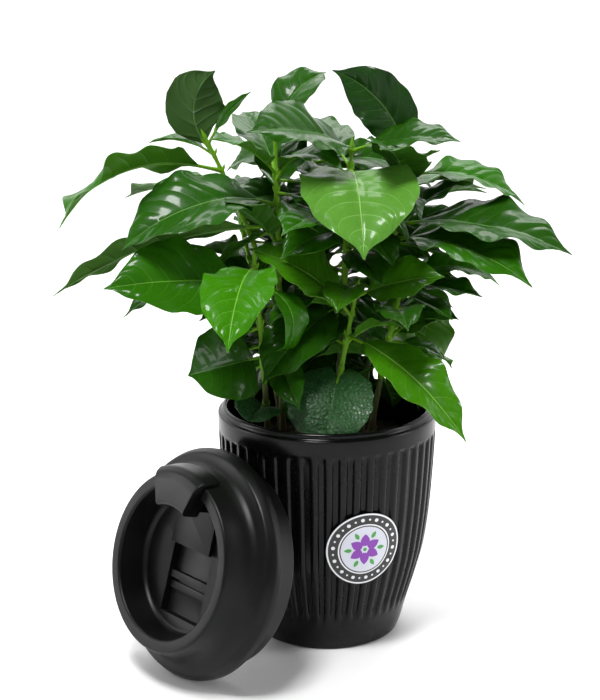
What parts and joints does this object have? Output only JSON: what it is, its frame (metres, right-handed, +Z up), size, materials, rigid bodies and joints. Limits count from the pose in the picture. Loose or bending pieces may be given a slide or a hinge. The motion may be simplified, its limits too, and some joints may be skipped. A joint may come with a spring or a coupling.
{
  "type": "potted coffee plant",
  "caption": "Young coffee seedlings with glossy wavy leaves in a black ribbed cup-shaped pot, its round travel-cup lid leaning on the side.",
  "frame": {"origin": "centre of the pot's flat underside", "axes": "+Z up along the pot's axis, front towards -Y, where the badge is and the lid leans at the front left (-X, -Y)"},
  "size_m": [0.2769, 0.227, 0.3234],
  "materials": {
    "pot": "satin black",
    "lid": "satin black",
    "flap": "satin black",
    "badge": "printed, satin",
    "soil": "crumbly dark soil",
    "stem": "green to brown bark",
    "leaf": "glossy leaf"
  },
  "bodies": {
    "root": {"pot": "pot", "soil": "soil", "badge": "badge", "lid": "lid", "lid_flap": "flap", "stem_a": "stem", "stem_b": "stem", "stem_c": "stem", "stem_d": "stem", "stem_e": "stem", "stem_f": "stem", "stem_g": "stem", "stem_h": "stem", "stem_i": "stem", "stem_j": "stem", "leaves_a": "leaf", "leaves_b": "leaf", "leaves_c": "leaf", "leaves_d": "leaf", "leaves_e": "leaf", "leaves_f": "leaf", "leaves_g": "leaf", "leaves_h": "leaf", "leaves_i": "leaf", "leaves_j": "leaf"}
  },
  "joints": []
}
